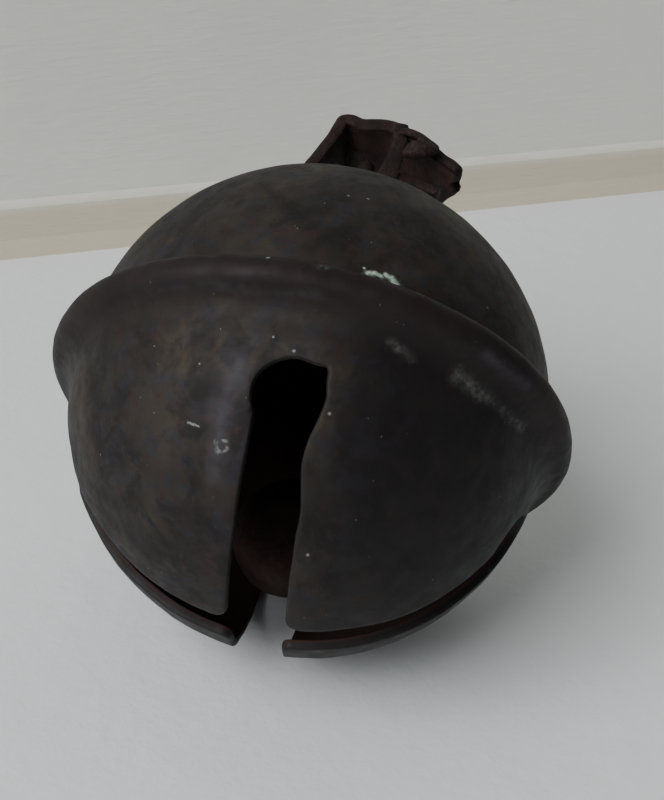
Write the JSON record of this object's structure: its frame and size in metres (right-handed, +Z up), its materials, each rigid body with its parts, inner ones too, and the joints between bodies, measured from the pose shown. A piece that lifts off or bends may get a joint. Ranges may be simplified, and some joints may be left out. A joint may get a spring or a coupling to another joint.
{
  "type": "rumbler bell",
  "caption": "Round cattle rumbler bell with slotted petals, rolled seam, loose iron ball and a folded leather strap tied on its wire eye.",
  "frame": {"origin": "middle of the bottom of the box round the bell as it lies, on the surface that it lies on", "axes": "+Z up, +Y level, towards the strap, +X to the right with the mouth towards the viewer; the bell's own axis lies in the YZ plane, 26.5 degrees above +Y"},
  "size_m": [0.0846, 0.0916, 0.0773],
  "materials": {
    "dome_brass": "dark brown patina with specks of verdigris, satin",
    "cup_brass": "dark grey-brown patina, rubbed and pitted, satin",
    "eye_wire": "dull brown tarnish",
    "washer_metal": "dull dark tarnish",
    "ball_iron": "rusted all over, matt",
    "strap_leather": "old, dark, dry and cracked",
    "thong_leather": "old, dark, worn at the edges"
  },
  "bodies": {
    "bell": {"upper_dome": "dome_brass", "lower_cup": "cup_brass", "hanger_eye": "eye_wire", "clench_washer": "washer_metal"},
    "clapper": {"clapper_ball": "ball_iron"},
    "strap": {"strap": "strap_leather", "thong": "thong_leather"}
  },
  "joints": [
    {"name": "clapper_roll", "type": "hinge", "parent": "bell", "child": "clapper", "pos_m": [0, -0.0079, 0.03788], "axis": [1, 0, 0], "continuous": true},
    {"name": "strap_swing", "type": "hinge", "parent": "bell", "child": "strap", "pos_m": [0, 0.03471, 0.05909], "axis": [0, -0.4457, 0.8952], "range_deg": [-8, 2]}
  ]
}
